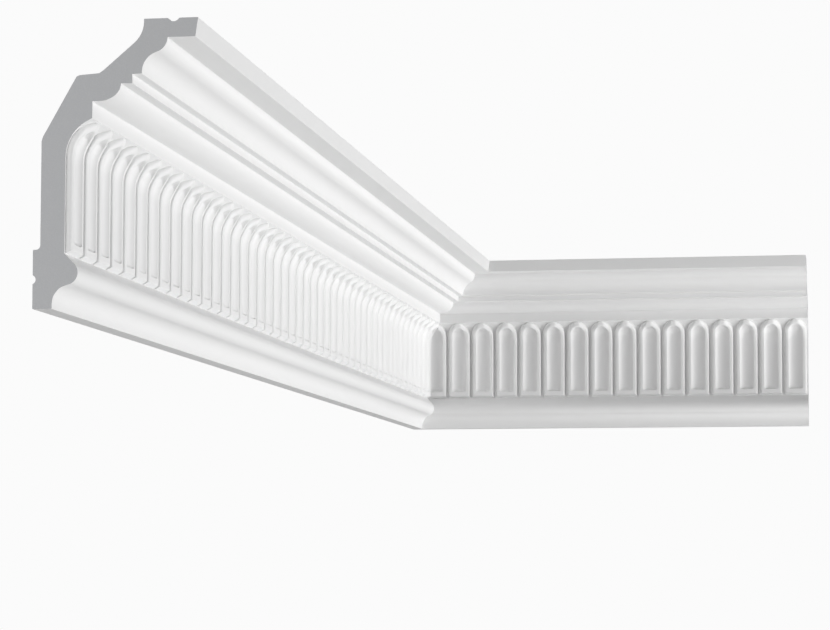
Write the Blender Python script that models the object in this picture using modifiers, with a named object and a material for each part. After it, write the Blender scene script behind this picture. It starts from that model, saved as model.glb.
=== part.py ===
"""Fluted cornice moulding round an inside corner, as two mitred lengths.

Each length is drawn with X out from its wall, Y along the run and Z up. The section is one outline of
arcs, the flutes are one unit repeated down the run, and the corner end is sawn off at 45 degrees.
The origin is on the back of the long length, on the flat land that is glued to the wall, halfway along.
"""
import math

import bmesh
import bpy
from mathutils import Matrix, Vector

MM = 0.001

# Overall sizes
HEIGHT = 165.5 * MM
PROJECTION = 96.0 * MM
LONG_RUN = 1176.0 * MM
SHORT_RUN = 415.0 * MM
MITRE_JOINT = 0.3 * MM

# Lip at the ceiling
LIP_TALL = 11.0 * MM
LIP_DRAFT = 1.6 * MM

# Upper ogee, from the lip down to the stepped soffit
OGEE_TOP_OUT = 78.1 * MM
OGEE_FOOT_OUT = 63.2 * MM
OGEE_ROUND = 8.5 * MM
OGEE_HOLLOW = 12.0 * MM
OGEE_FOOT = 0.8 * MM

# Steps under the ogee
STEP_DEEP = 5.6 * MM
STEP_TALL = 5.4 * MM
BEAD_OUT = 51.0 * MM

# Quarter round and the plain fillet under it
QUARTER_WIDE = 13.0 * MM
QUARTER_TALL = 9.8 * MM
FILLET_OUT = 34.2 * MM
FILLET_TALL = 9.7 * MM

# Frieze: the ground between the flutes and the cove that carries it forward
COVE_RADIUS = 23.3 * MM
GROUND_OUT = 18.5 * MM

# Roll at the bottom edge, and the crease where the slope behind it meets the frieze
NECK_UP = 31.6 * MM
ROLL_RADIUS = 7.0 * MM
ROLL_OUT = 26.6 * MM
ROLL_UP = 20.6 * MM
FOOT_RADIUS = 11.0 * MM
FOOT_OUT = 11.5 * MM

# Flutes
PITCH = 25.0 * MM
RELIEF = 3.9 * MM
GROOVE_WIDE = 3.6 * MM
RIM_WIDE = 3.4 * MM
HOLLOW_WIDE = PITCH - GROOVE_WIDE - 2.0 * RIM_WIDE
HOLLOW_DEEP = 3.5 * MM
HOLLOW_BORDER = 4.0 * MM
CROWN_BACK = 1.4 * MM
UNDERSIDE_TALL = 1.9 * MM
SPRING_BELOW_FILLET = 13.0 * MM

# Back: wall land, hollow, ceiling land and the half-round glue channels
WALL_LAND_TALL = 34.0 * MM
RECESS_DEEP = 4.3 * MM
RECESS_ROUND = 2.6 * MM
RECESS_EASE = 0.8 * MM
RECESS_TOP_BELOW = 69.0 * MM
SHELF_OUT = 24.6 * MM
SHELF_BELOW = 31.4 * MM
SHELF_WIDE = 13.5 * MM
SHOULDER_RADIUS = 16.0 * MM
SHOULDER_BELOW = 1.5 * MM
CEILING_LAND_OUT = 64.2 * MM
WALL_CHANNEL_UP = 16.9 * MM
WALL_CHANNEL_WIDE = 5.0 * MM
WALL_CHANNEL_DEEP = 1.8 * MM
CEILING_CHANNEL_OUT = 81.6 * MM
CEILING_CHANNEL_WIDE = 6.6 * MM
CEILING_CHANNEL_DEEP = 2.0 * MM

# Height of the origin above the lower edge, halfway up the upper part of the wall land
ORIGIN_UP = 0.5 * (WALL_CHANNEL_UP + 0.5 * WALL_CHANNEL_WIDE + WALL_LAND_TALL)

# How far a flute's block is sunk into the frieze, and how far a cutter stands clear of what it cuts
SINK = 1.5 * MM
CLEAR = 2.0 * MM
HEAD_CLEAR = 0.4 * MM

# How far the flutes stop short of the fillet's lower edge, in front and at the arches' crowns
FILLET_SHY = 0.4 * MM
ARCH_SHY = 0.2 * MM

# Facets to each arc
ARC_STEPS = 4
COVE_STEPS = 3
ARCH_STEPS = 6
HOLLOW_FACETS = 5

WHITE_PRIMER = (0.86, 0.86, 0.85, 1.0)
PRIMER_ROUGHNESS = 0.55


def arc(centre, radius, start, end, steps, tall=None):
    """Points along a circle, or an ellipse when tall is given, from one angle to another in radians."""
    tall = radius if tall is None else tall
    points = []
    for i in range(steps + 1):
        angle = start + (end - start) * i / steps
        points.append((centre[0] + radius * math.cos(angle), centre[1] + tall * math.sin(angle)))
    return points


def channel(point, along, into, wide, deep, steps=4):
    """A shallow half-round channel: a circle cut by its chord, entered and left on the flat."""
    radius = (0.25 * wide * wide + deep * deep) / (2.0 * deep)
    half = math.asin(0.5 * wide / radius)
    points = []
    for i in range(steps + 1):
        angle = -half + 2.0 * half * i / steps
        reach = radius * math.sin(angle)
        depth = radius * math.cos(angle) - radius + deep
        points.append((point[0] + along[0] * reach + into[0] * depth,
                       point[1] + along[1] * reach + into[1] * depth))
    return points


def tangent_turn(point, centre, radius, side):
    """Angle round a circle at which a line from a point outside runs onto it, on side 1 or side -1."""
    across = point[0] - centre[0]
    up = point[1] - centre[1]
    return math.atan2(up, across) + side * math.acos(radius / math.hypot(across, up))


def cove_top_angle():
    """How far the cove turns between the upright frieze and the underside of the fillet."""
    return math.acos(1.0 - (FILLET_OUT - GROUND_OUT) / COVE_RADIUS)


def levels():
    """Heights above the lower edge that follow from the sizes above."""
    lip = HEIGHT - LIP_TALL
    rounds = OGEE_ROUND + OGEE_HOLLOW
    between = (OGEE_FOOT_OUT + OGEE_HOLLOW) - (OGEE_TOP_OUT - OGEE_ROUND)
    ogee = lip - math.sqrt(rounds * rounds - between * between)
    soffit = ogee - OGEE_FOOT
    bead = soffit - STEP_TALL
    fillet_top = bead - QUARTER_TALL
    fillet = fillet_top - FILLET_TALL
    cove = fillet - COVE_RADIUS * math.sin(cove_top_angle())
    foot_between = (FOOT_OUT + FOOT_RADIUS) - (ROLL_OUT - ROLL_RADIUS)
    foot = ROLL_UP - math.sqrt((FOOT_RADIUS + ROLL_RADIUS) ** 2 - foot_between ** 2)
    return {"lip": lip, "ogee": ogee, "soffit": soffit, "bead": bead, "fillet_top": fillet_top,
            "fillet": fillet, "cove": cove, "foot": foot}


def front_outline():
    """The face of the moulding at groove level, from the ceiling down to the lower edge."""
    z = levels()
    points = [(PROJECTION, HEIGHT), (PROJECTION - LIP_DRAFT, z["lip"])]

    round_centre = (OGEE_TOP_OUT - OGEE_ROUND, z["lip"])
    hollow_centre = (OGEE_FOOT_OUT + OGEE_HOLLOW, z["ogee"])
    turn = math.atan2(hollow_centre[1] - round_centre[1], hollow_centre[0] - round_centre[0])
    points += arc(round_centre, OGEE_ROUND, 0.0, turn, ARC_STEPS)
    points += arc(hollow_centre, OGEE_HOLLOW, turn + math.pi, math.pi, ARC_STEPS)[1:]
    points.append((OGEE_FOOT_OUT, z["soffit"]))

    points.append((OGEE_FOOT_OUT - STEP_DEEP, z["soffit"]))
    points.append((OGEE_FOOT_OUT - STEP_DEEP, z["bead"]))

    quarter_centre = (BEAD_OUT - QUARTER_WIDE, z["bead"])
    points += arc(quarter_centre, QUARTER_WIDE, 0.0, -0.5 * math.pi, ARC_STEPS + 1, QUARTER_TALL)
    points.append((FILLET_OUT, z["fillet_top"]))

    cove_centre = (GROUND_OUT + COVE_RADIUS, z["cove"])
    points += arc(cove_centre, COVE_RADIUS, math.pi - cove_top_angle(), math.pi, COVE_STEPS + 1)

    crease = (GROUND_OUT, NECK_UP)
    roll_centre = (ROLL_OUT - ROLL_RADIUS, ROLL_UP)
    foot_centre = (FOOT_OUT + FOOT_RADIUS, z["foot"])
    upper = tangent_turn(crease, roll_centre, ROLL_RADIUS, -1.0)
    lower = math.atan2(foot_centre[1] - roll_centre[1], foot_centre[0] - roll_centre[0])
    points.append(crease)
    points += arc(roll_centre, ROLL_RADIUS, upper, lower, 2 * ARC_STEPS)
    points += arc(foot_centre, FOOT_RADIUS, lower + math.pi, math.pi, ARC_STEPS)[1:]
    points.append((FOOT_OUT, 0.0))
    return points


def back_outline():
    """The back, from the lower edge up the wall, over the hollow and out along the ceiling."""
    points = [(0.0, 0.0)]
    points += channel((0.0, WALL_CHANNEL_UP), (0.0, 1.0), (1.0, 0.0), WALL_CHANNEL_WIDE, WALL_CHANNEL_DEEP)
    points.append((0.0, WALL_LAND_TALL))
    points += arc((RECESS_DEEP - RECESS_ROUND, WALL_LAND_TALL + RECESS_ROUND), RECESS_ROUND,
                  -0.5 * math.pi, 0.0, 3)
    recess_top = HEIGHT - RECESS_TOP_BELOW
    shelf = HEIGHT - SHELF_BELOW
    points.append((RECESS_DEEP, recess_top))
    points.append((RECESS_DEEP + RECESS_EASE, recess_top + RECESS_ROUND))
    points.append((SHELF_OUT, shelf - RECESS_EASE))
    points.append((SHELF_OUT + RECESS_ROUND - RECESS_EASE, shelf))
    points.append((SHELF_OUT + SHELF_WIDE, shelf + RECESS_EASE))
    slope_foot = (SHELF_OUT + SHELF_WIDE + RECESS_ROUND, shelf + RECESS_ROUND)
    points.append(slope_foot)
    shoulder_centre = (CEILING_LAND_OUT - SHOULDER_RADIUS, HEIGHT - SHOULDER_BELOW)
    turn = tangent_turn(slope_foot, shoulder_centre, SHOULDER_RADIUS, 1.0)
    points += arc(shoulder_centre, SHOULDER_RADIUS, turn, 0.0, ARC_STEPS)
    points.append((CEILING_LAND_OUT, HEIGHT))
    points += channel((CEILING_CHANNEL_OUT, HEIGHT), (1.0, 0.0), (0.0, -1.0),
                      CEILING_CHANNEL_WIDE, CEILING_CHANNEL_DEEP)
    return points


def relief_outline():
    """Section of the band the flutes stand up to: the ground raised by the relief, cove and all."""
    z = levels()
    raised_out = GROUND_OUT + RELIEF
    cove_centre = (GROUND_OUT + COVE_RADIUS, z["cove"])
    radius = COVE_RADIUS - RELIEF
    crown_out = FILLET_OUT - CROWN_BACK
    crown = math.acos((cove_centre[0] - crown_out) / radius)
    bottom = NECK_UP + UNDERSIDE_TALL
    points = [(raised_out, bottom)]
    points += arc(cove_centre, radius, math.pi, math.pi - crown, COVE_STEPS)
    points.append((FILLET_OUT - FILLET_SHY, z["fillet"] - FILLET_SHY))
    points += arc(cove_centre, COVE_RADIUS + SINK, math.pi - cove_top_angle(), math.pi, COVE_STEPS + 1)
    points.append((GROUND_OUT - SINK, NECK_UP - 0.25 * SINK))
    return points


def arch_outline(wide, foot, spring, top):
    """Upright with a round head, seen from the room: a flute's edge."""
    half = 0.5 * wide
    points = [(-half, foot), (half, foot)]
    points += arc((0.0, spring), half, 0.0, math.pi, ARCH_STEPS, top - spring)
    return points


def plate(name, outline, thickness, turn, middle):
    """An outline filled and given thickness about the middle, as a closed mesh placed in the world."""
    curve = bpy.data.curves.new(name, "CURVE")
    curve.dimensions = "2D"
    curve.fill_mode = "BOTH"
    curve.extrude = 0.5 * thickness
    spline = curve.splines.new("POLY")
    spline.points.add(len(outline) - 1)
    for point, (x, y) in zip(spline.points, outline):
        point.co = (x, y, 0.0, 1.0)
    spline.use_cyclic_u = True
    drawn = bpy.data.objects.new(name + "_outline", curve)
    bpy.context.scene.collection.objects.link(drawn)
    drawn.matrix_world = Matrix.Translation(middle) @ turn
    bpy.context.view_layer.update()
    depsgraph = bpy.context.evaluated_depsgraph_get()
    mesh = bpy.data.meshes.new_from_object(drawn.evaluated_get(depsgraph))
    mesh.name = name
    bm = bmesh.new()
    bm.from_mesh(mesh)
    bmesh.ops.remove_doubles(bm, verts=bm.verts, dist=0.01 * MM)
    bmesh.ops.recalc_face_normals(bm, faces=bm.faces)
    bm.to_mesh(mesh)
    bm.free()
    mesh.shade_smooth()
    mesh.set_sharp_from_angle(angle=math.radians(35.0))
    solid = bpy.data.objects.new(name, mesh)
    solid.matrix_world = drawn.matrix_world.copy()
    bpy.data.objects.remove(drawn)
    return solid


def section_turn():
    """Stands an outline drawn as (out, up) upright, with its thickness along the run."""
    return Matrix.Rotation(0.5 * math.pi, 4, "X")


def elevation_turn():
    """Stands an outline drawn as (along, up) upright, with its thickness out from the wall."""
    return Matrix.Rotation(0.5 * math.pi, 4, "Z") @ Matrix.Rotation(0.5 * math.pi, 4, "X")


def flute_gouge(name):
    """The round-bottomed gouge of one flute: run straight up the frieze, then swung round the cove."""
    z = levels()
    radius = (0.25 * HOLLOW_WIDE ** 2 + HOLLOW_DEEP ** 2) / (2.0 * HOLLOW_DEEP)
    axis_out = GROUND_OUT + RELIEF + radius - HOLLOW_DEEP
    foot = NECK_UP + UNDERSIDE_TALL + HOLLOW_BORDER
    half = math.asin(0.5 * HOLLOW_WIDE / radius)
    over = half * (1.0 + 1.0 / HOLLOW_FACETS)
    bm = bmesh.new()
    section = []
    for i in range(HOLLOW_FACETS + 1):
        angle = -over + 2.0 * over * i / HOLLOW_FACETS
        out = axis_out - radius * math.cos(angle)
        depth = GROUND_OUT + RELIEF - out
        section.append(bm.verts.new((out, radius * math.sin(angle), foot + depth)))
    front = GROUND_OUT + RELIEF + CLEAR
    section.append(bm.verts.new((front, radius * math.sin(over), foot - CLEAR)))
    section.append(bm.verts.new((front, -radius * math.sin(over), foot - CLEAR)))
    floor = bm.faces.new(section)
    raised = bmesh.ops.extrude_face_region(bm, geom=[floor])
    top = [item for item in raised["geom"] if isinstance(item, bmesh.types.BMVert)]
    for vert in top:
        vert.co.z = z["cove"]
    cap = [item for item in raised["geom"] if isinstance(item, bmesh.types.BMFace)]
    bmesh.ops.spin(bm, geom=cap, cent=(GROUND_OUT + COVE_RADIUS, 0.0, z["cove"]), axis=(0.0, 1.0, 0.0),
                   angle=cove_top_angle(), steps=COVE_STEPS, use_duplicate=False)
    bmesh.ops.delete(bm, geom=[face for face in cap if face.is_valid], context="FACES_ONLY")
    bmesh.ops.recalc_face_normals(bm, faces=bm.faces)
    mesh = bpy.data.meshes.new(name)
    bm.to_mesh(mesh)
    bm.free()
    mesh.shade_smooth()
    mesh.set_sharp_from_angle(angle=math.radians(35.0))
    return bpy.data.objects.new(name, mesh)


def boolean(target, cutter, operation):
    """Joins, cuts or trims one solid with another."""
    modifier = target.modifiers.new(operation.title() + "_" + cutter.name, "BOOLEAN")
    modifier.solver = "EXACT"
    modifier.operation = operation
    modifier.object = cutter


def keep_as_tool(objects, tools):
    """Files the solids that only shape the pieces, so that they are drawn as wire and left out."""
    for obj in objects:
        tools.objects.link(obj)
        obj.hide_render = True
        obj.display_type = "WIRE"


def white_primer(name):
    """Satin white primer over moulded polyurethane."""
    primer = bpy.data.materials.new(name)
    primer.use_nodes = True
    shader = primer.node_tree.nodes["Principled BSDF"]
    shader.inputs["Base Color"].default_value = WHITE_PRIMER
    shader.inputs["Roughness"].default_value = PRIMER_ROUGHNESS
    shader.inputs["Metallic"].default_value = 0.0
    return primer


def cornice_length(name, run, hand, wall, parts, tools):
    """One length, from its square end at Y = 0 towards its mitre at Y = hand * run."""
    z = levels()
    middle = Vector((0.0, 0.5 * hand * run, 0.0))
    body = plate(name, front_outline() + back_outline(), run, section_turn(), middle)
    parts.objects.link(body)
    body.data.materials.append(white_primer(name + "_primer"))

    unit_middle = Vector((0.0, 0.5 * hand * PITCH, 0.0))
    unit = plate(name + "_flute", relief_outline(), PITCH, section_turn(), unit_middle)
    spring = z["fillet"] - SPRING_BELOW_FILLET
    reach = Vector((FILLET_OUT, 0.0, 0.0)) + unit_middle
    edge = plate(name + "_flute_edge",
                 arch_outline(PITCH - GROOVE_WIDE, NECK_UP - 2.0 * SINK, spring, z["fillet"] - ARCH_SHY),
                 2.0 * FILLET_OUT, elevation_turn(), reach)
    head_wide = HOLLOW_WIDE + 2.0 * HEAD_CLEAR
    head = plate(name + "_hollow_head",
                 arch_outline(head_wide, NECK_UP - SINK, spring, spring + 0.5 * head_wide),
                 2.0 * FILLET_OUT, elevation_turn(), reach)
    gouge = flute_gouge(name + "_gouge")
    gouge.location = unit_middle
    boolean(gouge, head, "INTERSECT")
    boolean(unit, edge, "INTERSECT")
    boolean(unit, gouge, "DIFFERENCE")
    rows = unit.modifiers.new("Repeat", "ARRAY")
    rows.count = math.ceil((run - GROUND_OUT) / PITCH)
    rows.use_relative_offset = False
    rows.use_constant_offset = True
    rows.constant_offset_displace = (0.0, 0.0, -hand * PITCH)
    rows.merge_threshold = 0.01 * MM
    boolean(body, unit, "UNION")

    size = 2.0 * (PROJECTION + HEIGHT)
    bpy.ops.mesh.primitive_cube_add(size=size)
    saw = bpy.context.object
    saw.name = name + "_mitre_saw"
    saw.data.name = saw.name
    for collection in list(saw.users_collection):
        collection.objects.unlink(saw)
    outward = Vector((1.0, hand, 0.0)).normalized()
    saw.rotation_euler = (0.0, 0.0, 0.25 * math.pi)
    saw.location = Vector((0.0, hand * run, 0.0)) + outward * (0.5 * size - 0.5 * MITRE_JOINT)
    boolean(body, saw, "DIFFERENCE")

    keep_as_tool([unit, edge, head, gouge, saw], tools)
    for obj in [body, unit, edge, head, gouge, saw]:
        obj.parent = wall


def main():
    for obj in list(bpy.data.objects):
        bpy.data.objects.remove(obj)
    scene = bpy.context.scene
    parts = bpy.data.collections.new("fluted_cornice_corner")
    tools = bpy.data.collections.new("cutters")
    scene.collection.children.link(parts)
    scene.collection.children.link(tools)

    long_wall = bpy.data.objects.new("long_wall", None)
    end_wall = bpy.data.objects.new("end_wall", None)
    parts.objects.link(long_wall)
    parts.objects.link(end_wall)
    long_wall.location = (0.0, -0.5 * LONG_RUN, -ORIGIN_UP)
    end_wall.location = (SHORT_RUN, 0.5 * LONG_RUN, -ORIGIN_UP)
    end_wall.rotation_euler = (0.0, 0.0, -0.5 * math.pi)

    cornice_length("long_wall_length", LONG_RUN, 1.0, long_wall, parts, tools)
    cornice_length("end_wall_length", SHORT_RUN, -1.0, end_wall, parts, tools)


if __name__ == "__main__":
    main()
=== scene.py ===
"""A fluted cornice round an inside corner, dressed for its picture.

The sizes and colours stand in property groups, one operator makes each piece, and the panel in the 3D view's
sidebar lists the operators in the order in which they are run. Each length is drawn with X out from its back
and Y along its run, as one slice a flute wide. The slice is repeated down the run and sawn off at the mitre.
"""

import math

import bmesh
import bpy
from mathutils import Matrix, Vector


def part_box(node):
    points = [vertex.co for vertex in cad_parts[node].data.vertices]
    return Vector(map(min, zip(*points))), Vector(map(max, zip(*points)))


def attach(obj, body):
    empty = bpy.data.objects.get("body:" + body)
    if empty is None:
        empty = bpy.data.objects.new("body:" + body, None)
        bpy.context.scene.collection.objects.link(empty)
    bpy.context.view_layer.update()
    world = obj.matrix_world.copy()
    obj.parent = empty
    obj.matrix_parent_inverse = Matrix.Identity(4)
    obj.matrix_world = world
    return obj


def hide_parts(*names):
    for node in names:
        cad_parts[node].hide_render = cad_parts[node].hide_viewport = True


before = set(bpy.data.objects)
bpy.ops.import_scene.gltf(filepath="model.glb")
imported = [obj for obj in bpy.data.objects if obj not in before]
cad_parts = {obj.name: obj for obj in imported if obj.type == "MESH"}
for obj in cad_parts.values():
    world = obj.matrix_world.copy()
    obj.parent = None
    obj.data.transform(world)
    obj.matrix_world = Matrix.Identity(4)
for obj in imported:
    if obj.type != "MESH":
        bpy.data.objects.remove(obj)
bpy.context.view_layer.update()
LONG_LOW, LONG_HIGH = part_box("long_wall_length")
END_LOW, END_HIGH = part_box("end_wall_length")

bl_info = {
    "name": "Fluted Cornice Corner",
    "version": (1, 0, 0),
    "blender": (4, 5, 0),
    "location": "View3D > Sidebar > Cornice",
    "description": "Models two mitred lengths of fluted cornice with their finish, stage and camera",
    "category": "Add Mesh",
}

MM = 0.001

# How close points lie to one line of the section, and how close they lie when they are joined
NEAR = 0.02 * MM
MERGE = 0.01 * MM

# How far each length stops short of the mitre's middle, so that the two don't touch
MITRE_SETBACK = 0.03 * MM


def paint(code):
    """Linear colour of an sRGB hex code."""
    channels = [int(code[i:i + 2], 16) / 255.0 for i in (0, 2, 4)]
    linear = [c / 12.92 if c <= 0.04045 else ((c + 0.055) / 1.055) ** 2.4 for c in channels]
    return (linear[0], linear[1], linear[2], 1.0)


# Sizes and colours

def size(name, description, default):
    """A length that the panel shows in the scene's units."""
    return bpy.props.FloatProperty(name=name, description=description, default=default, unit="LENGTH",
                                   precision=5)


class CorniceSection(bpy.types.PropertyGroup):
    """The front of the section, from the top down."""
    height: size("Height", "Ceiling land to lower edge", LONG_HIGH.z - LONG_LOW.z)
    projection: size("Projection", "How far the lip stands out", LONG_HIGH.x - LONG_LOW.x)
    lip_tall: size("Lip height", "Height of the lip at the ceiling", 11.0 * MM)
    lip_draft: size("Lip draft", "How far the lip leans back", 1.6 * MM)
    ogee_top_out: size("Ogee top", "How far out the ogee meets the lip", 78.1 * MM)
    ogee_foot_out: size("Ogee foot", "How far out the ogee ends", 63.2 * MM)
    ogee_round: size("Ogee round", "Radius of the ogee's round", 8.5 * MM)
    ogee_hollow: size("Ogee hollow", "Radius of the ogee's hollow", 12.0 * MM)
    ogee_foot: size("Ogee fillet", "Small upright under the ogee", 0.8 * MM)
    step_deep: size("Step depth", "Depth of the soffit under the ogee", 5.6 * MM)
    step_tall: size("Step height", "Height of the band under the soffit", 5.4 * MM)
    bead_out: size("Bead out", "How far out the quarter round stands", 51.0 * MM)
    quarter_wide: size("Quarter width", "Width of the quarter round", 13.0 * MM)
    quarter_tall: size("Quarter height", "Height of the quarter round", 9.8 * MM)
    fillet_out: size("Fillet out", "How far out the plain fillet stands", 34.2 * MM)
    fillet_tall: size("Fillet height", "Height of the plain fillet", 9.7 * MM)
    cove_radius: size("Cove radius", "Radius of the cove over the frieze", 23.3 * MM)
    ground_out: size("Ground out", "How far out the ground between flutes stands", 18.5 * MM)
    neck_up: size("Neck", "Height of the crease between the roll and the flutes", 31.6 * MM)
    roll_radius: size("Roll radius", "Radius of the roll", 7.0 * MM)
    roll_out: size("Roll out", "How far out the roll's nose stands", 26.6 * MM)
    roll_up: size("Roll height", "Height of the roll's nose", 20.6 * MM)
    foot_radius: size("Foot radius", "Radius of the hollow under the roll", 11.0 * MM)
    foot_out: size("Foot out", "How far out the lower edge stands", 11.5 * MM)
    arris: size("Arris", "How much of each corner the mould rounds off", 0.35 * MM)


class CorniceFlutes(bpy.types.PropertyGroup):
    """One flute and the groove beside it."""
    pitch: size("Pitch", "From one groove to the next", 25.0 * MM)
    relief: size("Relief", "How far the flutes stand out from the ground", 3.9 * MM)
    rim_flat: size("Rim flat", "How far beside the hollow the rim starts to round over", 1.3 * MM)
    head_rim_flat: size("Head rim flat", "How far round the head the rim starts to round over", 0.845 * MM)
    foot: size("Flank foot", "Half width of a flute where its flank meets the ground", 11.1 * MM)
    hollow_half: size("Half hollow", "Half width of the hollow", 7.3 * MM)
    hollow_deep: size("Hollow depth", "Depth of the hollow", 3.5 * MM)
    hollow_border: size("Hollow border", "Plain border under the hollow", 4.0 * MM)
    hollow_corner: size("Hollow corner", "Radius of the hollow's lower corners", 2.0 * MM)
    hollow_runout: size("Hollow run-out", "Height over which the hollow's floor rises at its foot", 4.0 * MM)
    head_runout: size("Head run-out", "Width of the wall round the head of the hollow", 1.9 * MM)
    underside_tall: size("Underside", "Height of the sloped underside of a flute", 1.9 * MM)
    spring_below: size("Spring", "How far under the fillet the round head springs", 13.0 * MM)
    crown_back: size("Crown", "How far behind the fillet the crown of a flute stands", 1.4 * MM)
    softness: size("Softness", "How much the mould softens the carving's arrises", 0.3 * MM)
    hollow_arris: size("Hollow arris", "Softness of the hollow's edge on the straight part", 0.05 * MM)
    head_arris: size("Head arris", "Softness of the hollow's edge round the head", 0.25 * MM)
    flank_power: bpy.props.FloatProperty(name="Flank shape", description="2 is round, higher is squarer",
                                         default=3.4, min=1.5)
    head_power: bpy.props.FloatProperty(name="Head shape", description="2 is round, higher is squarer",
                                        default=1.25, min=1.0)


class CorniceBack(bpy.types.PropertyGroup):
    """The back, with its two lands, its hollow parts and its glue channels."""
    wall_land: size("Wall land", "Height of the land on the wall", 34.0 * MM)
    recess_deep: size("Recess depth", "Depth of the recess over the wall land", 4.3 * MM)
    recess_round: size("Recess round", "Radius in the corners of the recess", 2.6 * MM)
    recess_ease: size("Recess ease", "How far the corners of the back slope", 0.8 * MM)
    recess_top_below: size("Recess top", "From the ceiling down to the top of the recess", 69.0 * MM)
    shelf_out: size("Shelf out", "How far out the shelf behind the cove starts", 24.6 * MM)
    shelf_below: size("Shelf", "From the ceiling down to the shelf", 31.4 * MM)
    shelf_wide: size("Shelf width", "Width of the shelf", 13.5 * MM)
    shoulder_radius: size("Shoulder", "Radius of the shoulder behind the ogee", 16.0 * MM)
    shoulder_below: size("Shoulder drop", "From the ceiling down to the shoulder's centre", 1.5 * MM)
    ceiling_land_out: size("Ceiling land", "How far out the ceiling land starts", 64.2 * MM)
    wall_channel_up: size("Wall channel", "Height of the glue channel on the wall", 16.9 * MM)
    wall_channel_wide: size("Wall channel width", "Width of the glue channel on the wall", 5.0 * MM)
    wall_channel_deep: size("Wall channel depth", "Depth of the glue channel on the wall", 1.8 * MM)
    ceiling_channel_out: size("Ceiling channel", "How far out the ceiling's glue channel lies", 81.6 * MM)
    ceiling_channel_wide: size("Ceiling channel width", "Width of the ceiling's glue channel", 6.6 * MM)
    ceiling_channel_deep: size("Ceiling channel depth", "Depth of the ceiling's glue channel", 2.0 * MM)


class CorniceFinish(bpy.types.PropertyGroup):
    """Colours and roughness."""
    primer: bpy.props.FloatVectorProperty(name="Primer", description="Satin white primer on the face",
                                          default=paint("E6E6E6"), size=4, subtype="COLOR")
    primer_roughness: bpy.props.FloatProperty(name="Primer roughness", description="Sheen of the primer",
                                              default=0.5, min=0.0, max=1.0, subtype="FACTOR")
    back: bpy.props.FloatVectorProperty(name="Back", description="Bare moulded skin on the back",
                                        default=paint("DEDDD6"), size=4, subtype="COLOR")
    core: bpy.props.FloatVectorProperty(name="Core", description="Foam that the saw lays open",
                                        default=paint("C0C1C3"), size=4, subtype="COLOR")


class CorniceStage(bpy.types.PropertyGroup):
    """Floor, light and camera."""
    floor: bpy.props.FloatVectorProperty(name="Floor", description="Plain pale floor",
                                         default=paint("E9E9E8"), size=4, subtype="COLOR")
    backdrop: bpy.props.FloatVectorProperty(name="Backdrop", description="Plain pale surroundings",
                                            default=paint("FBFBFB"), size=4, subtype="COLOR")
    floor_drop: bpy.props.FloatProperty(name="Floor drop", description="From the origin down to the floor",
                                        default=2.4, unit="LENGTH")
    key: bpy.props.FloatProperty(name="Key light", description="Power of the light on the right",
                                 default=50.0, unit="POWER")
    bounce: bpy.props.FloatProperty(name="Low bounce", description="Power of the light low on the right",
                                    default=18.0, unit="POWER")
    front: bpy.props.FloatProperty(name="Front light", description="Power of the light beside the camera",
                                   default=24.0, unit="POWER")
    rear: bpy.props.FloatProperty(name="Rear light", description="Power of the light behind the cornice",
                                  default=60.0, unit="POWER")
    low: bpy.props.FloatProperty(name="Low light", description="Strength of the soft light from below",
                                 default=0.42, min=0.0)
    high: bpy.props.FloatProperty(name="High light", description="Strength of the soft light from above",
                                  default=0.05, min=0.0)


class CorniceSettings(bpy.types.PropertyGroup):
    """All the sizes and colours of the cornice."""
    section: bpy.props.PointerProperty(name="Section", description="Front of the section",
                                       type=CorniceSection)
    flutes: bpy.props.PointerProperty(name="Flutes", description="Carving of the frieze", type=CorniceFlutes)
    back: bpy.props.PointerProperty(name="Back", description="Back of the section", type=CorniceBack)
    finish: bpy.props.PointerProperty(name="Finish", description="Colours", type=CorniceFinish)
    stage: bpy.props.PointerProperty(name="Stage", description="Floor, light, camera", type=CorniceStage)


# Working in edit mode

def only(obj):
    """Deselects everything, then selects one object and makes it active."""
    bpy.ops.object.select_all(action="DESELECT")
    obj.select_set(True)
    bpy.context.view_layer.objects.active = obj


def edit(obj):
    """Opens one object in edit mode with nothing in it selected."""
    only(obj)
    bpy.ops.object.mode_set(mode="EDIT")
    bpy.ops.mesh.select_mode(type="EDGE")
    bpy.ops.mesh.select_all(action="DESELECT")


def pick_edges(obj, test):
    """Selects just the edges that pass the test, in edit mode."""
    bpy.ops.mesh.select_all(action="DESELECT")
    bm = bmesh.from_edit_mesh(obj.data)
    for item in bm.edges:
        if test(item):
            item.select_set(True)
    bmesh.update_edit_mesh(obj.data)


def fill_gap(obj, test):
    """Closes the ring of open edges that pass the test with one flat face."""
    pick_edges(obj, lambda item: len(item.link_faces) < 2 and all(test(vert.co) for vert in item.verts))
    bpy.ops.mesh.edge_face_add()


def close_to(value, wanted):
    return abs(value - wanted) < NEAR


# Heights and outlines of the section

# Corners of the outline that turn by more than this are rounded, with this many faces
CORNER_TURN = math.radians(24.0)
CORNER_FACES = 3


def section_heights(s):
    """Heights above the lower edge that follow from the sizes, because each arc runs into the next."""
    lip = s.height - s.lip_tall
    between = (s.ogee_foot_out + s.ogee_hollow) - (s.ogee_top_out - s.ogee_round)
    ogee = lip - math.sqrt((s.ogee_round + s.ogee_hollow) ** 2 - between ** 2)
    soffit = ogee - s.ogee_foot
    bead = soffit - s.step_tall
    fillet_top = bead - s.quarter_tall
    fillet = fillet_top - s.fillet_tall
    cove_turn = math.acos(1.0 - (s.fillet_out - s.ground_out) / s.cove_radius)
    cove = fillet - s.cove_radius * math.sin(cove_turn)
    foot_between = (s.foot_out + s.foot_radius) - (s.roll_out - s.roll_radius)
    foot = s.roll_up - math.sqrt((s.foot_radius + s.roll_radius) ** 2 - foot_between ** 2)
    return {"lip": lip, "ogee": ogee, "soffit": soffit, "bead": bead, "fillet_top": fillet_top,
            "fillet": fillet, "cove": cove, "neck": s.neck_up, "foot": foot}


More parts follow.
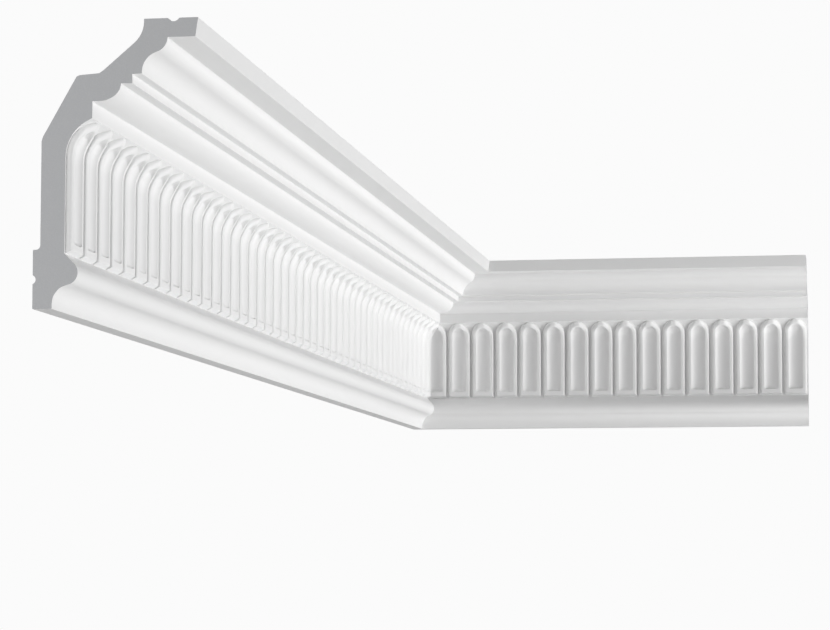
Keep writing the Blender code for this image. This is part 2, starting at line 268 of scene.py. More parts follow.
def roll_slope(s):
    """Centre of the roll, and the angle round it at which the slope from the crease runs onto it."""
    centre = (s.roll_out - s.roll_radius, s.roll_up)
    across = s.ground_out - centre[0]
    up = s.neck_up - centre[1]
    return centre, math.atan2(up, across) - math.acos(s.roll_radius / math.hypot(across, up))


class Pencil:
    """Draws an outline in the X-Z plane as it is drawn by hand: extrude for a straight, spin for an arc."""

    def __init__(self, name, x, z):
        bpy.ops.object.select_all(action="DESELECT")
        bpy.ops.mesh.primitive_plane_add(size=MM)
        self.obj = bpy.context.object
        self.obj.name = name
        self.obj.data.name = name
        self.x = x
        self.z = z
        bpy.ops.object.mode_set(mode="EDIT")
        bpy.ops.mesh.select_mode(type="VERT")
        bpy.ops.mesh.select_all(action="SELECT")
        bpy.ops.mesh.merge(type="CENTER")
        bpy.ops.transform.translate(value=(x, 0.0, z))

    def line(self, x, z):
        move = {"value": (x - self.x, 0.0, z - self.z)}
        bpy.ops.mesh.extrude_vertices_move(TRANSFORM_OT_translate=move)
        self.x = x
        self.z = z

    def arc(self, cx, cz, turn, steps):
        """Swings the pen round a centre, anticlockwise seen with X to the right and Z up."""
        bpy.ops.mesh.spin(steps=steps, angle=turn, center=(cx, 0.0, cz), axis=(0.0, 1.0, 0.0))
        x = self.x - cx
        z = self.z - cz
        self.x = cx + x * math.cos(turn) - z * math.sin(turn)
        self.z = cz + x * math.sin(turn) + z * math.cos(turn)

    def bow(self, cx, cz, wide, tall, start, end, steps):
        """A part of an ellipse, point by point."""
        for i in range(1, steps + 1):
            angle = start + (end - start) * i / steps
            self.line(cx + wide * math.cos(angle), cz + tall * math.sin(angle))

    def channel(self, x, z, along, into, wide, deep, steps=8):
        """A shallow half-round channel across a flat, drawn in the direction along."""
        radius = (0.25 * wide * wide + deep * deep) / (2.0 * deep)
        half = math.asin(0.5 * wide / radius)
        for i in range(steps + 1):
            angle = -half + 2.0 * half * i / steps
            reach = radius * math.sin(angle)
            depth = radius * math.cos(angle) - radius + deep
            self.line(x + along[0] * reach + into[0] * depth, z + along[1] * reach + into[1] * depth)


def draw_front(pen, s, z):
    """From the fillet's lower edge up to the top."""
    pen.line(s.fillet_out, z["fillet_top"])
    pen.line(s.bead_out - s.quarter_wide, z["fillet_top"])
    pen.bow(s.bead_out - s.quarter_wide, z["bead"], s.quarter_wide, s.quarter_tall, -0.5 * math.pi, 0.0, 12)
    pen.line(s.ogee_foot_out - s.step_deep, z["bead"])
    pen.line(s.ogee_foot_out - s.step_deep, z["soffit"])
    pen.line(s.ogee_foot_out, z["soffit"])
    pen.line(s.ogee_foot_out, z["ogee"])
    hollow = (s.ogee_foot_out + s.ogee_hollow, z["ogee"])
    swell = (s.ogee_top_out - s.ogee_round, z["lip"])
    turn = math.atan2(hollow[1] - swell[1], hollow[0] - swell[0])
    pen.arc(hollow[0], hollow[1], turn, 10)
    pen.arc(swell[0], swell[1], -turn, 10)
    pen.line(s.projection - s.lip_draft, z["lip"])
    pen.line(s.projection, s.height)


def draw_back(pen, s, b):
    """In along the top, down the back and over the lower land to the lower edge."""
    pen.channel(b.ceiling_channel_out, s.height, (-1.0, 0.0), (0.0, -1.0), b.ceiling_channel_wide,
                b.ceiling_channel_deep)
    pen.line(b.ceiling_land_out, s.height)
    shelf = s.height - b.shelf_below
    slope_foot = (b.shelf_out + b.shelf_wide + b.recess_round, shelf + b.recess_round)
    centre = (b.ceiling_land_out - b.shoulder_radius, s.height - b.shoulder_below)
    across = slope_foot[0] - centre[0]
    up = slope_foot[1] - centre[1]
    turn = math.atan2(up, across) + math.acos(b.shoulder_radius / math.hypot(across, up))
    pen.line(b.ceiling_land_out, centre[1])
    pen.arc(centre[0], centre[1], turn, 10)
    pen.line(slope_foot[0], slope_foot[1])
    pen.line(b.shelf_out + b.shelf_wide, shelf + b.recess_ease)
    pen.line(b.shelf_out + b.recess_round - b.recess_ease, shelf)
    pen.line(b.shelf_out, shelf - b.recess_ease)
    recess_top = s.height - b.recess_top_below
    pen.line(b.recess_deep + b.recess_ease, recess_top + b.recess_round)
    pen.line(b.recess_deep, recess_top)
    pen.line(b.recess_deep, b.wall_land + b.recess_round)
    pen.arc(b.recess_deep - b.recess_round, b.wall_land + b.recess_round, -0.5 * math.pi, 5)
    pen.line(0.0, b.wall_land)
    pen.channel(0.0, b.wall_channel_up, (0.0, -1.0), (1.0, 0.0), b.wall_channel_wide, b.wall_channel_deep)
    pen.line(0.0, 0.0)
    pen.line(s.foot_out, 0.0)


def draw_foot(pen, s, z):
    """Up over the foot and the roll, then in along the slope to the crease under the flutes."""
    roll, upper = roll_slope(s)
    foot = (s.foot_out + s.foot_radius, z["foot"])
    lower = math.atan2(foot[1] - roll[1], foot[0] - roll[0])
    pen.line(s.foot_out, z["foot"])
    pen.arc(foot[0], foot[1], lower, 8)
    pen.arc(roll[0], roll[1], upper - lower, 18)
    pen.line(s.ground_out, z["neck"])


def soften_corners(obj, arris):
    """Rounds the corners of the outline that is being drawn, in edit mode."""
    bpy.ops.mesh.select_all(action="DESELECT")
    bpy.ops.mesh.select_mode(type="VERT")
    bm = bmesh.from_edit_mesh(obj.data)
    for vert in bm.verts:
        if len(vert.link_edges) != 2:
            continue
        arms = [(item.other_vert(vert).co - vert.co).normalized() for item in vert.link_edges]
        turn = math.pi - arms[0].angle(arms[1])
        if turn > CORNER_TURN:
            vert.select_set(True)
    bmesh.update_edit_mesh(obj.data)
    bpy.ops.mesh.bevel(offset=arris, segments=CORNER_FACES, affect="VERTICES")
    bpy.ops.mesh.select_mode(type="EDGE")


def section_slice(name, context, hand):
    """The whole section, one flute pitch long, with the frieze left open."""
    settings = context.scene.cornice
    s = settings.section
    z = section_heights(s)
    pen = Pencil(name, s.fillet_out, z["fillet"])
    draw_front(pen, s, z)
    draw_back(pen, s, settings.back)
    draw_foot(pen, s, z)
    soften_corners(pen.obj, s.arris)
    bpy.ops.mesh.select_all(action="SELECT")
    move = {"value": (0.0, hand * settings.flutes.pitch, 0.0)}
    bpy.ops.mesh.extrude_region_move(TRANSFORM_OT_translate=move)
    bpy.ops.object.mode_set(mode="OBJECT")
    return pen.obj


# Carving of one flute

# Under the fillet the soft corner of the crown fades to nothing over this height
CROWN_FADE = 1.5 * MM


def soft_min(a, b, softness):
    """The smaller of two values, with the corner between them rounded."""
    return 0.5 * (a + b - math.sqrt((a - b) ** 2 + softness ** 2))


def soft_max(a, b, softness):
    """The larger of two values, with the corner between them rounded."""
    return 0.5 * (a + b + math.sqrt((a - b) ** 2 + softness ** 2))


def ease(x):
    """Runs smoothly from 0 to 1."""
    x = min(max(x, 0.0), 1.0)
    return x * x * (3.0 - 2.0 * x)


def rounded(x):
    """Falls steeply at 0 and levels out at 1, like the end of a gouge's cut; below 0 it stays negative."""
    if x < 0.0:
        return x
    return math.sqrt(1.0 - (1.0 - min(x, 1.0)) ** 2)


def frieze_out(s, f, z, up, lift):
    """How far out the frieze stands at a height, for a surface that lies lift in front of the ground."""
    above = up - z["cove"]
    if above <= 0.0:
        return s.ground_out + lift
    radius = s.cove_radius - lift
    centre = s.ground_out + s.cove_radius
    crown_radius = s.cove_radius - f.relief
    crown_out = s.fillet_out - f.crown_back
    crown_up = z["cove"] + math.sqrt(crown_radius ** 2 - (centre - crown_out) ** 2)
    band = crown_out + (s.fillet_out - crown_out) * (up - crown_up) / (z["fillet"] - crown_up)
    if above >= radius:
        return min(band, s.fillet_out)
    cove = centre - math.sqrt(radius ** 2 - above ** 2)
    softness = 0.5 * f.softness * ease((z["fillet"] - up) / CROWN_FADE)
    return min(soft_min(cove, band, softness), s.fillet_out)


def flute_lift(f, z, across, side, up, over, head):
    """How far one point of the flute stands in front of the ground, measured square to it.

    Across is the distance from the middle line, or in the round head from its centre. Side is the distance
    from the middle line alone. Over is the height above the hollow's lower outline. Head runs from 0 on the
    straight part to 1 round the head.
    """
    start = f.hollow_half + f.rim_flat + (f.head_rim_flat - f.rim_flat) * head
    foot = f.foot + (0.5 * f.pitch - f.foot) * head
    power = f.flank_power + (f.head_power - f.flank_power) * head
    share = min(max((across - start) / (foot - start), 0.0), 1.0)
    lift = f.relief * (1.0 - share ** power) ** (1.0 / power)
    under = f.relief * (up - z["neck"]) / f.underside_tall
    lift = soft_min(lift, under, f.softness)
    lift = soft_max(lift, 0.0, f.softness)
    radius = (f.hollow_half ** 2 + f.hollow_deep ** 2) / (2.0 * f.hollow_deep)
    reach = min(side, 0.98 * radius)
    deep = math.sqrt(radius ** 2 - reach ** 2) - (radius - f.hollow_deep)
    deep = soft_min(deep, f.hollow_deep * rounded(over / f.hollow_runout), f.softness)
    wall = f.hollow_deep * rounded((f.hollow_half - across) / f.head_runout)
    deep = soft_min(deep, wall, f.hollow_arris + (f.head_arris - f.hollow_arris) * head)
    return lift - soft_max(deep, 0.0, 0.5 * f.softness)


# Where the mesh lines lie across the hollow, down a flank and up the underside, closer at the turns
HOLLOW_SHARES = (0.0, 0.3, 0.54, 0.72, 0.84, 0.91, 0.955, 0.985, 1.0)
FLANK_SHARES = (0.0, 0.36, 0.6, 0.76, 0.87, 0.94, 0.98, 1.0)
UNDERSIDE_SHARES = (0.0, 0.2, 0.4, 0.6, 0.8, 0.94, 1.0)

# Millimetres from the hollow's side out over the rim, from the front lower edge up, and from the hollow's
# lower outline up
RIM_STEPS = (0.15, 0.4)
EDGE_STEPS = (0.15, 0.4, 0.9)
FOOT_STEPS = (-1.6, -0.6, -0.25, 0.0, 0.25, 0.6, 1.1, 1.8, 2.6, 3.4, 4.2, 5.2, 6.5)

# Rows up to the spring, and rays round the head below and above the corner of the pitch
COVE_ROWS = 5
HEAD_LOW = 9
HEAD_HIGH = 9

# How far the head turns before it has its full shape
HEAD_EASE = math.radians(50.0)

# How far above the hollow's lower outline its round corners still bend the mesh lines, and how far over the
# front lower edge they stop doing so
BEND_ABOVE = 6.5 * MM
BEND_SPARES = 0.8 * MM


def flute_columns(f):
    """Distances of the mesh lines from the middle of the flute, on the straight part and round the head."""
    inner = [f.hollow_half * share for share in HOLLOW_SHARES]
    inner += [f.hollow_half + step * MM for step in RIM_STEPS]

    def falling(start, foot):
        return [start + share * (foot - start) for share in FLANK_SHARES]

    straight = falling(f.hollow_half + f.rim_flat, f.foot)
    head = falling(f.hollow_half + f.head_rim_flat, 0.5 * f.pitch)
    return inner + straight, inner + head


def flute_rows(s, f, z):
    """Heights of the mesh lines, of the hollow's lower outline and of the spring of the head."""
    edge = z["neck"] + f.underside_tall
    outline = edge + f.hollow_border
    spring = z["fillet"] - f.spring_below
    rows = [z["neck"] + f.underside_tall * share for share in UNDERSIDE_SHARES]
    rows += [edge + step * MM for step in EDGE_STEPS]
    rows += [outline + step * MM for step in FOOT_STEPS]
    rows += [z["cove"] + (spring - z["cove"]) * i / COVE_ROWS for i in range(COVE_ROWS)]
    return rows, outline, spring


def foot_rise(f, across):
    """How far a mesh line rises to follow the hollow's lower corner, fading over the rim."""
    flat = f.hollow_half - f.hollow_corner
    if across <= flat:
        return 0.0
    into = min(across, f.hollow_half) - flat
    rise = f.hollow_corner - math.sqrt(f.hollow_corner ** 2 - into ** 2)
    if across > f.hollow_half:
        rise *= 1.0 - ease((across - f.hollow_half) / (2.0 * f.rim_flat))
    return rise


def straight_point(f, outline, up, across):
    """Place of a grid point on the straight part, where lines bend round the hollow's lower corner."""
    over = up - outline
    span = BEND_ABOVE if over > 0.0 else f.hollow_border - BEND_SPARES
    bend = foot_rise(f, across) * (1.0 - ease(abs(over) / span))
    return {"across": across, "side": across, "up": up + bend, "over": over, "head": 0.0}


def head_point(f, outline, spring, turn, column, straight, head):
    """Place of a grid point round the head, on a ray from its centre out to the border of the pitch."""
    share = ease(turn / HEAD_EASE)
    across_border = 0.5 * f.pitch / max(math.cos(turn), 1e-6)
    border = min(across_border, f.spring_below / max(math.sin(turn), 1e-6))
    radii = [a + (b - a) * share for a, b in zip(straight, head)]
    radii += [0.5 * (radii[-1] + border), border]
    radius = radii[column]
    up = spring + radius * math.sin(turn)
    return {"across": radius, "side": radius * math.cos(turn), "up": up, "over": up - outline, "head": share}


def carve_panel(panel, s, f, across_steps, up_steps, turns):
    """Moves each point of the flat grid to its place on half a flute."""
    z = section_heights(s)
    straight, head = flute_columns(f)
    rows, outline, spring = flute_rows(s, f, z)
    half = 0.5 * f.pitch
    columns = straight + [0.5 * (straight[-1] + half), half]
    for vert in panel.data.vertices:
        column = round((vert.co.x + 0.5) * across_steps)
        row = round((vert.co.y + 0.5) * up_steps)
        if row < len(rows):
            place = straight_point(f, outline, rows[row], columns[column])
        else:
            place = head_point(f, outline, spring, turns[row - len(rows)], column, straight, head)
        if place["up"] > z["fillet"] - NEAR:
            out = s.fillet_out
        else:
            lift = flute_lift(f, z, **place) if row > 0 else 0.0
            out = frieze_out(s, f, z, place["up"], lift)
        vert.co = (out, place["side"], place["up"])


def flute_panel(name, context):
    """One flute pitch of the frieze: a grid laid over half a flute, raised to the carving, then mirrored."""
    s = context.scene.cornice.section
    f = context.scene.cornice.flutes
    corner = math.atan2(f.spring_below, 0.5 * f.pitch)
    turns = [corner * i / HEAD_LOW for i in range(HEAD_LOW + 1)]
    turns += [corner + (0.5 * math.pi - corner) * i / HEAD_HIGH for i in range(1, HEAD_HIGH + 1)]
    across_steps = len(flute_columns(f)[0]) + 1
    up_steps = len(flute_rows(s, f, section_heights(s))[0]) + len(turns) - 1

    bpy.ops.object.select_all(action="DESELECT")
    bpy.ops.mesh.primitive_grid_add(x_subdivisions=across_steps, y_subdivisions=up_steps, size=1.0)
    panel = bpy.context.object
    panel.name = name
    panel.data.name = name
    carve_panel(panel, s, f, across_steps, up_steps, turns)

    only(panel)
    mirrored = panel.modifiers.new("Other half", "MIRROR")
    mirrored.use_axis = (False, True, False)
    mirrored.use_mirror_merge = True
    mirrored.merge_threshold = MERGE
    bpy.ops.object.modifier_apply(modifier=mirrored.name)
    bpy.ops.object.mode_set(mode="EDIT")
    bpy.ops.mesh.select_all(action="SELECT")
    bpy.ops.mesh.remove_doubles(threshold=MERGE)
    bpy.ops.object.mode_set(mode="OBJECT")
    return panel


# One length

# A sawn end has more corners than this
SECTION_CORNERS = 60

# How far the bare skin reaches over the lands, out behind the ogee, in under the lip, round the shelf and
# round the recess
LAND_SKIN = 0.05 * MM
OGEE_SHARE = 0.7
OGEE_SKIN = 20.0 * MM
CHANNEL_SKIN = 0.1 * MM
LIP_THICK = 3.0 * MM
SHELF_SKIN = 2.0 * MM
RECESS_SKIN = 0.2 * MM
RECESS_START = 0.5 * MM

# Faces that meet at more than this stay sharp
SHARP_ANGLE = math.radians(38.0)


def stitch_panel(body, panel, context, hand):
    """Sets the carved panel into the open frieze and closes the two flat strips that border it."""
    settings = context.scene.cornice
    s = settings.section
    pitch = settings.flutes.pitch
    z = section_heights(s)
    only(panel)
    bpy.ops.transform.translate(value=(0.0, 0.5 * hand * pitch, 0.0))
    bpy.ops.object.transform_apply(location=True, rotation=True, scale=True)
    only(body)
    panel.select_set(True)
    bpy.ops.object.join()
    edit(body)
    bpy.ops.mesh.select_all(action="SELECT")
    bpy.ops.mesh.remove_doubles(threshold=MERGE)

    def spans(item):
        reach = abs(item.verts[0].co.y - item.verts[1].co.y)
        level = item.verts[0].co.z
        at_fillet = close_to(level, z["fillet"])
        at_ground = close_to(level, z["neck"]) and close_to(item.verts[0].co.x, s.ground_out)
        return close_to(reach, pitch) and (at_fillet or at_ground)

    pick_edges(body, spans)
    bpy.ops.mesh.delete(type="EDGE")
    roll, upper = roll_slope(s)

    def on_fillet(co):
        return close_to(co.x, s.fillet_out) and z["fillet"] - NEAR < co.z < z["fillet_top"] + NEAR

    def on_slope(co):
        away = (co.x - roll[0]) * math.cos(upper) + (co.z - roll[1]) * math.sin(upper)
        return close_to(away, s.roll_radius) and co.z < z["neck"] + NEAR

    fill_gap(body, on_fillet)
    fill_gap(body, on_slope)
    bpy.ops.mesh.select_all(action="SELECT")
    bpy.ops.mesh.normals_make_consistent(inside=False)
    bpy.ops.object.mode_set(mode="OBJECT")


def repeat_slice(body, run, pitch, hand):
    """Copies the slice down the run and joins the copies."""
    only(body)
    rows = body.modifiers.new("Down the run", "ARRAY")
    rows.count = math.ceil(run / pitch)
    rows.use_relative_offset = False
    rows.use_constant_offset = True
    rows.constant_offset_displace = (0.0, hand * pitch, 0.0)
    rows.use_merge_vertices = True
    rows.merge_threshold = MERGE
    bpy.ops.object.modifier_apply(modifier=rows.name)


def saw_mitre(body, run, hand):
    """Saws the corner end off at 45 degrees and closes it, then closes the square end."""
    edit(body)
    bpy.ops.mesh.select_all(action="SELECT")
    outward = Vector((1.0, hand, 0.0)).normalized()
    cut = Vector((0.0, hand * run, 0.0)) - MITRE_SETBACK * outward
    bpy.ops.mesh.bisect(plane_co=cut, plane_no=outward, use_fill=True, clear_outer=True,
                        threshold=0.1 * MERGE)
    fill_gap(body, lambda co: close_to(co.y, 0.0))
    bpy.ops.mesh.select_all(action="SELECT")
    bpy.ops.mesh.normals_make_consistent(inside=False)
    bpy.ops.object.mode_set(mode="OBJECT")


def is_sawn(polygon):
    """Whether a face is the square end at the start of the run or the mitre."""
    normal = polygon.normal
    at_end = close_to(polygon.center.y, 0.0) or abs(normal.x) > 0.5
    return abs(normal.y) > 0.5 and at_end and len(polygon.vertices) > SECTION_CORNERS


def is_bare(polygon, s, b):
    """Whether a face lies on the back or the top, where the primer isn't sprayed."""
    normal = polygon.normal
    centre = polygon.center
    on_land = centre.x < LAND_SKIN or centre.z > s.height - LAND_SKIN
    behind = normal.x < -0.2 and abs(normal.y) < 0.01 and centre.z > s.roll_up
    behind = behind and centre.x < OGEE_SHARE * s.ogee_foot_out + OGEE_SKIN
    channel_floor = s.height - b.ceiling_channel_deep
    in_channel = centre.z > channel_floor - CHANNEL_SKIN and centre.x < s.projection - LIP_THICK
    shelf = s.height - b.shelf_below
    on_shelf = centre.z > shelf - SHELF_SKIN and centre.x < s.ogee_foot_out and normal.z > 0.5
    in_recess = centre.x < b.recess_deep + RECESS_SKIN and centre.z > RECESS_START
    return on_land or behind or in_channel or on_shelf or in_recess


def finish_faces(body, materials, s, b):
    """Gives the face, the plain back and the sawn ends their own finishes."""
    for material in materials:
        body.data.materials.append(material)
    for polygon in body.data.polygons:
        if is_sawn(polygon):
            polygon.material_index = 2
        elif is_bare(polygon, s, b):
            polygon.material_index = 1


def place_length(body, corner, turned):
    """Moves a finished length from where it is drawn to where it belongs and applies the move."""
    only(body)
    if turned:
        bpy.ops.transform.rotate(value=math.radians(90.0), orient_axis="Z", center_override=(0.0, 0.0, 0.0))
    bpy.ops.transform.translate(value=corner)
    bpy.ops.object.transform_apply(location=True, rotation=True, scale=True)


def smooth_faces(body):
    """Smooth shading over the curves, with the flats kept flat."""
    only(body)
    bpy.ops.object.shade_smooth_by_angle(angle=SHARP_ANGLE)
    weighted = body.modifiers.new("Flat flats", "WEIGHTED_NORMAL")
    weighted.keep_sharp = True
    bpy.ops.object.modifier_apply(modifier=weighted.name)


def make_length(context, node, run, hand, corner, turned):
    """One length of the cornice, which stands for one solid of the frame."""
    settings = context.scene.cornice
    name = node + "_skin"
    body = section_slice(name, context, hand)
    panel = flute_panel(name + "_flute", context)
    stitch_panel(body, panel, context, hand)
    repeat_slice(body, run, settings.flutes.pitch, hand)
    saw_mitre(body, run, hand)
    finish_faces(body, cornice_materials(settings.finish), settings.section, settings.back)
    place_length(body, corner, turned)
    smooth_faces(body)
    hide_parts(node)
    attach(body, "root")
    return body


# Materials

def add_node(tree, kind, settings=None, links=None):
    """Adds a node, sets its properties and sockets, and links its inputs."""
    node = tree.nodes.new(kind)
    for key, value in (settings or {}).items():
        if isinstance(key, str) and hasattr(node, key):
            setattr(node, key, value)
        else:
            node.inputs[key].default_value = value
    for key, source in (links or {}).items():
        tree.links.new(source, node.inputs[key])
    return node


def new_material(name):
    """A material with only a Principled shader and its output."""
    material = bpy.data.materials.new(name)
    material.use_nodes = True
    tree = material.node_tree
    return material, tree, tree.nodes["Principled BSDF"]


def satin_primer(finish):
    """Moulded polyurethane sprayed with satin white primer: an even, faintly mottled white, softly shiny."""
    material, tree, shader = new_material("satin_primer_on_moulded_polyurethane")
    place = add_node(tree, "ShaderNodeTexCoord")
    # Spray leaves a fine orange peel about 1.2 mm across, and the mould a slow wave about 30 mm long
    peel = add_node(tree, "ShaderNodeTexNoise", {"Scale": 1.0 / (1.2 * MM), "Detail": 2.0},
                    {"Vector": place.outputs["Object"]})
    wave = add_node(tree, "ShaderNodeTexNoise", {"Scale": 1.0 / (30.0 * MM), "Detail": 1.0},
                    {"Vector": place.outputs["Object"]})
    bump = add_node(tree, "ShaderNodeBump", {"Strength": 0.25, "Distance": 0.03 * MM},
                    {"Height": peel.outputs["Fac"]})
    tree.links.new(bump.outputs["Normal"], shader.inputs["Normal"])
    tone = add_node(tree, "ShaderNodeMix", {"data_type": "RGBA"}, {"Factor": wave.outputs["Fac"]})
    white = finish.primer
    tone.inputs[6].default_value = (white[0] * 0.985, white[1] * 0.985, white[2] * 0.985, 1.0)
    tone.inputs[7].default_value = white
    tree.links.new(tone.outputs[2], shader.inputs["Base Color"])
    shader.inputs["Roughness"].default_value = finish.primer_roughness
    shader.inputs["Specular IOR Level"].default_value = 0.5
    return material


def bare_back(finish):
    """Moulded polyurethane skin with no primer: duller, faintly warm, with the mould's coarser texture."""
    material, tree, shader = new_material("bare_moulded_polyurethane_skin")
    place = add_node(tree, "ShaderNodeTexCoord")
    # The mould's lid is left rough: bumps about 2.5 mm across
    grain = add_node(tree, "ShaderNodeTexNoise", {"Scale": 1.0 / (2.5 * MM), "Detail": 3.0},
                     {"Vector": place.outputs["Object"]})
    bump = add_node(tree, "ShaderNodeBump", {"Strength": 0.4, "Distance": 0.08 * MM},
                    {"Height": grain.outputs["Fac"]})
    tree.links.new(bump.outputs["Normal"], shader.inputs["Normal"])
    tone = add_node(tree, "ShaderNodeMix", {"data_type": "RGBA"}, {"Factor": grain.outputs["Fac"]})
    skin = finish.back
    tone.inputs[6].default_value = (skin[0] * 0.95, skin[1] * 0.95, skin[2] * 0.94, 1.0)
    tone.inputs[7].default_value = skin
    tree.links.new(tone.outputs[2], shader.inputs["Base Color"])
    shader.inputs["Roughness"].default_value = 0.7
    return material


def sawn_core(finish):
    """High-density polyurethane foam laid open by a fine saw: dull grey, full of tiny closed cells."""
    material, tree, shader = new_material("sawn_high_density_polyurethane_foam")
    place = add_node(tree, "ShaderNodeTexCoord")
    # Real cells are about 0.2 mm across, and are drawn at 0.7 mm so that they show
    cells = add_node(tree, "ShaderNodeTexVoronoi", {"Scale": 1.0 / (0.7 * MM)},
                     {"Vector": place.outputs["Object"]})
    bump = add_node(tree, "ShaderNodeBump", {"Strength": 0.35, "Distance": 0.1 * MM},
                    {"Height": cells.outputs["Distance"]})
    tree.links.new(bump.outputs["Normal"], shader.inputs["Normal"])
    tone = add_node(tree, "ShaderNodeMix", {"data_type": "RGBA"}, {"Factor": cells.outputs["Distance"]})
    core = finish.core
    tone.inputs[6].default_value = (core[0] * 0.93, core[1] * 0.93, core[2] * 0.93, 1.0)
    tone.inputs[7].default_value = core
    tree.links.new(tone.outputs[2], shader.inputs["Base Color"])
    shader.inputs["Roughness"].default_value = 0.92
    shader.inputs["Specular IOR Level"].default_value = 0.2
    return material


def cornice_materials(finish):
    """The three finishes, made once and shared by both lengths."""
    names = ["satin_primer_on_moulded_polyurethane", "bare_moulded_polyurethane_skin",
             "sawn_high_density_polyurethane_foam"]
    if all(name in bpy.data.materials for name in names):
        return [bpy.data.materials[name] for name in names]
    return [satin_primer(finish), bare_back(finish), sawn_core(finish)]


# Operators

class CORNICE_OT_long_length(bpy.types.Operator):
    """Models the long length: square end towards the camera, mitre in the corner"""
    bl_idname = "cornice.long_length"
    bl_label = "Long Length"

    def execute(self, context):
        run = END_HIGH.y - LONG_LOW.y
        make_length(context, "long_wall_length", run, 1.0, (0.0, LONG_LOW.y, LONG_LOW.z), False)
        return {"FINISHED"}


class CORNICE_OT_end_length(bpy.types.Operator):
    """Models the short length: mitre in the corner, square end on the right"""
    bl_idname = "cornice.end_length"
    bl_label = "Short Length"

    def execute(self, context):
        run = END_HIGH.x - LONG_LOW.x
        make_length(context, "end_wall_length", run, -1.0, (END_HIGH.x, END_HIGH.y, END_LOW.z), True)
        return {"FINISHED"}


class CORNICE_OT_stage(bpy.types.Operator):
    """Sets up the plain floor, the soft studio light and the camera"""
    bl_idname = "cornice.stage"
    bl_label = "Stage"

    def execute(self, context):
        stage = context.scene.cornice.stage
        set_floor(stage)
        set_surroundings(context.scene, stage)
        set_lights(context.scene, stage)
        set_camera(context.scene)
        return {"FINISHED"}


# Stage

# The photograph's size, its focal length and the point its view runs straight to, in pixels
PHOTO_WIDE = 830.0
PHOTO_TALL = 630.0
FOCAL = 2383.5
PRINCIPAL = (517.9, 419.7)

# Where the photograph was taken from, in metres, and how far the view turns and tilts, in degrees
CAMERA_AT = (0.46566, -1.88691, -0.17533)
CAMERA_TURN = 8.149
CAMERA_TILT = 3.619

FLOOR_WIDE = 14.0

# Where each light stands and how wide it is, in metres, and where they all point
SIDE_LIGHT = ((2.42, -0.23, -0.42), 2.0)
LOW_LIGHT = ((1.77, 0.39, -1.65), 1.2)
FRONT_LIGHT = ((-0.71, -2.14, -0.1), 1.6)
REAR_LIGHT = ((-1.7, 2.0, 1.5), 1.6)
LIT_POINT = (0.1, 0.1, 0.05)

# Sine of the angle over which the surroundings change from their low to their high strength
HORIZON = 0.3


def set_floor(stage):
    bpy.ops.object.select_all(action="DESELECT")
    bpy.ops.mesh.primitive_plane_add(size=FLOOR_WIDE, location=(0.0, 0.0, -stage.floor_drop))
    floor = bpy.context.object
    floor.name = "floor"
    floor.data.name = "floor"
    bpy.ops.object.transform_apply(location=True, rotation=True, scale=True)
    material, _, shader = new_material("matt_painted_floor")
    shader.inputs["Base Color"].default_value = stage.floor
    shader.inputs["Roughness"].default_value = 0.9
    floor.data.materials.append(material)


def set_surroundings(scene, stage):
    """Pale all round to the eye, with soft light that comes mostly from below."""
    world = bpy.data.worlds.new("studio")
    scene.world = world
    world.use_nodes = True
    tree = world.node_tree
    tree.nodes.clear()
    place = add_node(tree, "ShaderNodeTexCoord")
    parts = add_node(tree, "ShaderNodeSeparateXYZ", None, {"Vector": place.outputs["Generated"]})
    share = add_node(tree, "ShaderNodeMapRange",
                     {"From Min": -HORIZON, "From Max": HORIZON, "To Min": stage.low, "To Max": stage.high},
                     {"Value": parts.outputs["Z"]})
    soft = add_node(tree, "ShaderNodeBackground", {"Color": (1.0, 1.0, 1.0, 1.0)},
                    {"Strength": share.outputs["Result"]})
    plain = add_node(tree, "ShaderNodeBackground", {"Color": stage.backdrop})
    path = add_node(tree, "ShaderNodeLightPath")
    both = add_node(tree, "ShaderNodeMixShader", None,
                    {0: path.outputs["Is Camera Ray"], 1: soft.outputs[0], 2: plain.outputs[0]})
    add_node(tree, "ShaderNodeOutputWorld", None, {"Surface": both.outputs[0]})


def add_area_light(scene, name, spot, power):
    """A square soft light that points at the cornice and isn't seen itself."""
    place, wide = spot
    light = bpy.data.lights.new(name, "AREA")
    light.shape = "SQUARE"
    light.size = wide
    light.energy = power
    lamp = bpy.data.objects.new(name, light)
    scene.collection.objects.link(lamp)
    lamp.location = place
    lamp.rotation_euler = (Vector(LIT_POINT) - Vector(place)).to_track_quat("-Z", "Y").to_euler()
    lamp.visible_camera = False


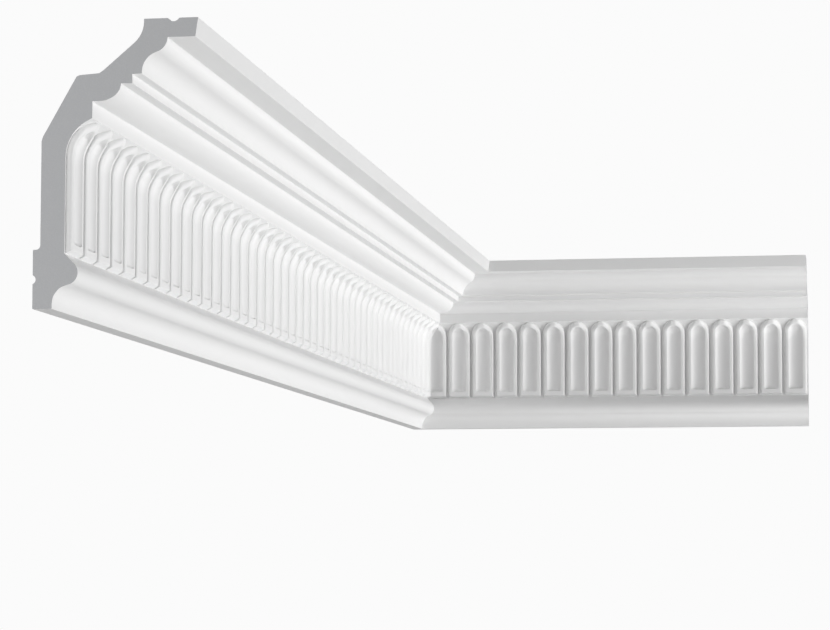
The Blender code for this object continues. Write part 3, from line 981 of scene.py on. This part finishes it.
def set_lights(scene, stage):
    """Light from the right, from low on the right, from beside the camera and from behind."""
    add_area_light(scene, "side_light", SIDE_LIGHT, stage.key)
    add_area_light(scene, "low_light", LOW_LIGHT, stage.bounce)
    add_area_light(scene, "front_light", FRONT_LIGHT, stage.front)
    add_area_light(scene, "rear_light", REAR_LIGHT, stage.rear)


def set_camera(scene):
    """The camera as solved from the photograph, with its view crossed off centre."""
    data = bpy.data.cameras.new("camera")
    camera = bpy.data.objects.new("camera", data)
    scene.collection.objects.link(camera)
    data.sensor_width = 36.0
    data.lens = FOCAL / PHOTO_WIDE * data.sensor_width
    data.shift_x = (0.5 * PHOTO_WIDE - PRINCIPAL[0]) / PHOTO_WIDE
    data.shift_y = (PRINCIPAL[1] - 0.5 * PHOTO_TALL) / PHOTO_WIDE
    camera.location = CAMERA_AT
    camera.rotation_euler = (math.radians(90.0 + CAMERA_TILT), 0.0, math.radians(CAMERA_TURN))
    scene.camera = camera
    scene.view_settings.view_transform = "Standard"


# Panel

class CORNICE_PT_panel(bpy.types.Panel):
    """Lists the steps that make the cornice"""
    bl_label = "Fluted Cornice"
    bl_idname = "CORNICE_PT_panel"
    bl_space_type = "VIEW_3D"
    bl_region_type = "UI"
    bl_category = "Cornice"

    def draw(self, context):
        settings = context.scene.cornice
        column = self.layout.column(align=True)
        column.operator("cornice.long_length")
        column.operator("cornice.end_length")
        column.operator("cornice.stage")
        for group in (settings.section, settings.flutes, settings.back, settings.finish, settings.stage):
            box = self.layout.box()
            for key in group.bl_rna.properties.keys():
                if key not in ("rna_type", "name"):
                    box.prop(group, key)


CLASSES = (CorniceSection, CorniceFlutes, CorniceBack, CorniceFinish, CorniceStage, CorniceSettings,
           CORNICE_OT_long_length, CORNICE_OT_end_length, CORNICE_OT_stage, CORNICE_PT_panel)


def register():
    for item in CLASSES:
        bpy.utils.register_class(item)
    bpy.types.Scene.cornice = bpy.props.PointerProperty(type=CorniceSettings)


def unregister():
    del bpy.types.Scene.cornice
    for item in reversed(CLASSES):
        bpy.utils.unregister_class(item)


def main():
    register()
    bpy.ops.cornice.long_length()
    bpy.ops.cornice.end_length()
    bpy.ops.cornice.stage()


if __name__ == "__main__":
    main()
